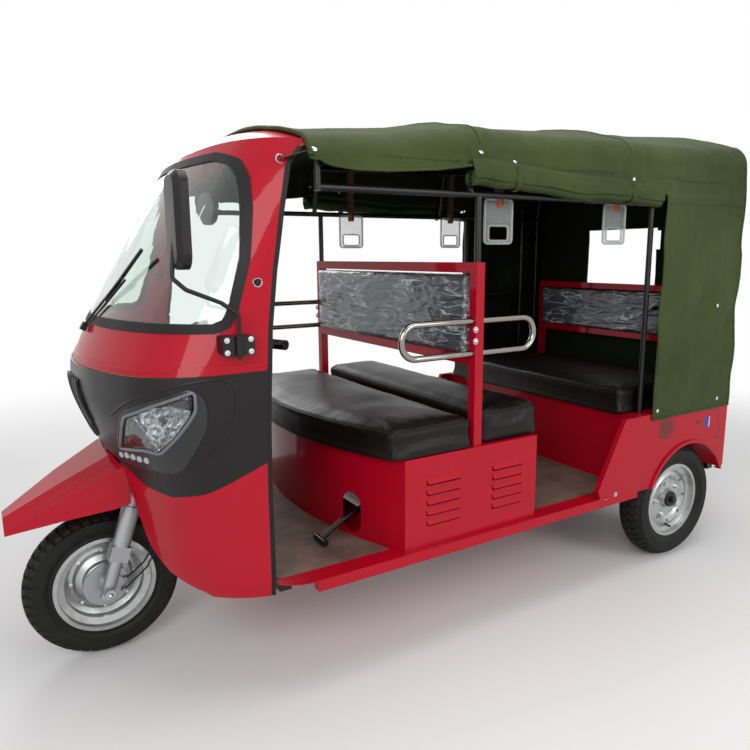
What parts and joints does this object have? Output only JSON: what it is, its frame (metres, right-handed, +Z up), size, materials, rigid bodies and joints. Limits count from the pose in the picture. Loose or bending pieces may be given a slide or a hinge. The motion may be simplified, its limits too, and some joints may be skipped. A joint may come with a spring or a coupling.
{
  "type": "passenger motor tricycle",
  "caption": "Three-wheeled passenger motor tricycle with a closed-front driver's cab, open sides, bench seats and a canvas canopy on a tube frame.",
  "frame": {"origin": "on the ground, on the centre plane, midway between the front and rear ends", "axes": "+X forward, +Y to the vehicle's left, +Z up"},
  "size_m": [2.975, 1.2952, 1.932],
  "materials": {
    "tyre_rubber": "matt",
    "wheel_silver": "silver paint",
    "aluminium": "cast",
    "chrome": "polished",
    "black_steel": "black paint",
    "red_paint": "gloss paint",
    "black_plastic": "moulded",
    "lamp_plastic": "clear lens",
    "tail_lens": "red lens",
    "glass": "clear",
    "seal_rubber": "matt",
    "black_leather": "leathercloth",
    "grey_leather": "leathercloth",
    "brown_mat": "matt",
    "canvas": "olive canvas",
    "mirror": "moulded"
  },
  "bodies": {
    "body": {"armrests": "chrome", "beak_fender": "red_paint", "cab_lower": "red_paint", "cab_upper": "red_paint", "canopy_cover": "canvas", "canopy_frame": "black_steel", "chassis_frame": "black_steel", "door_trims": "seal_rubber", "driver_cushion": "black_leather", "engine_block": "aluminium", "exhaust": "black_steel", "floor_mats": "brown_mat", "floor_pan": "red_paint", "foot_controls": "black_steel", "grab_handles": "lamp_plastic", "headlamps": "lamp_plastic", "inner_leg_shield": "black_plastic", "leaf_springs": "black_steel", "mid_backrest_frame": "red_paint", "mid_backrest_pad": "grey_leather", "middle_cushion": "black_leather", "mirrors": "mirror", "nose_grille": "black_plastic", "nose_panel": "black_plastic", "rear_axle": "black_steel", "rear_backrest_frame": "red_paint", "rear_backrest_pad": "grey_leather", "rear_cushion": "black_leather", "rear_seat_box": "red_paint", "rear_side_panels": "red_paint", "rolled_curtains": "canvas", "seat_box": "red_paint", "tail_lamps": "tail_lens", "tail_panel": "red_paint", "windscreen": "glass", "windscreen_seal": "seal_rubber", "wiper": "black_plastic"},
    "front_wheel": {"front_tyre": "tyre_rubber", "front_rim": "wheel_silver"},
    "rear_wheel_left": {"rear_tyre_left": "tyre_rubber", "rear_rim_left": "wheel_silver"},
    "rear_wheel_right": {"rear_tyre_right": "tyre_rubber", "rear_rim_right": "wheel_silver"},
    "steering": {"fork_legs": "aluminium", "front_brake_plate": "aluminium", "front_cables": "black_plastic", "steering_stem": "black_steel", "handlebar": "black_steel"}
  },
  "joints": [
    {"name": "steering_turn", "type": "hinge", "parent": "body", "child": "steering", "pos_m": [0.9788, 0, 0.76194], "axis": [-0.3206, 0, 0.9472], "range_deg": [-35, 35]},
    {"name": "front_wheel_spin", "type": "hinge", "parent": "steering", "child": "front_wheel", "pos_m": [1.2025, 0, 0.257], "axis": [0, 1, 0], "continuous": true},
    {"name": "rear_wheel_left_spin", "type": "hinge", "parent": "body", "child": "rear_wheel_left", "pos_m": [-1.1275, 0.554, 0.263], "axis": [0, 1, 0], "continuous": true},
    {"name": "rear_wheel_right_spin", "type": "hinge", "parent": "body", "child": "rear_wheel_right", "pos_m": [-1.1275, -0.554, 0.263], "axis": [0, 1, 0], "continuous": true}
  ]
}
